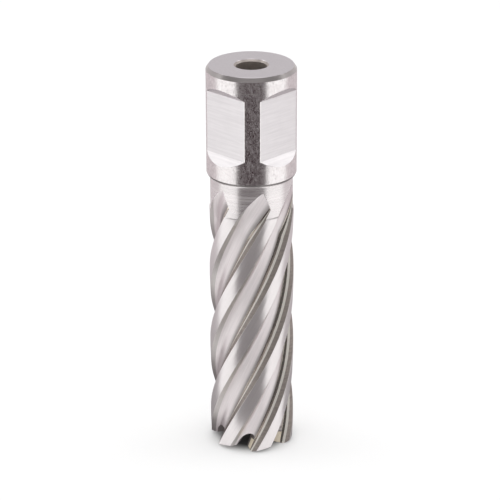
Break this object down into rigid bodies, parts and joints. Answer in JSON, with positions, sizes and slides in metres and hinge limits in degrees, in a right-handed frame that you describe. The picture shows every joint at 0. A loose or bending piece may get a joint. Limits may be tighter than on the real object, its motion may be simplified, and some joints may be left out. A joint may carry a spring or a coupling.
{
  "type": "annular cutter",
  "caption": "Hollow annular cutter for drilling steel: helical flutes ending in a toothed crown, a pilot pin bore and a straight shank with two clamp flats.",
  "frame": {"origin": "centre of the cutting end, in the plane of the tooth tips", "axes": "+Z along the cutter's axis from the teeth to the shank, +X midway between the two clamp flats"},
  "size_m": [0.019, 0.019, 0.0858],
  "materials": {
    "ground_steel": "ground and lightly polished high-speed steel"
  },
  "bodies": {
    "root": {"annular_cutter": "ground_steel"}
  },
  "joints": []
}
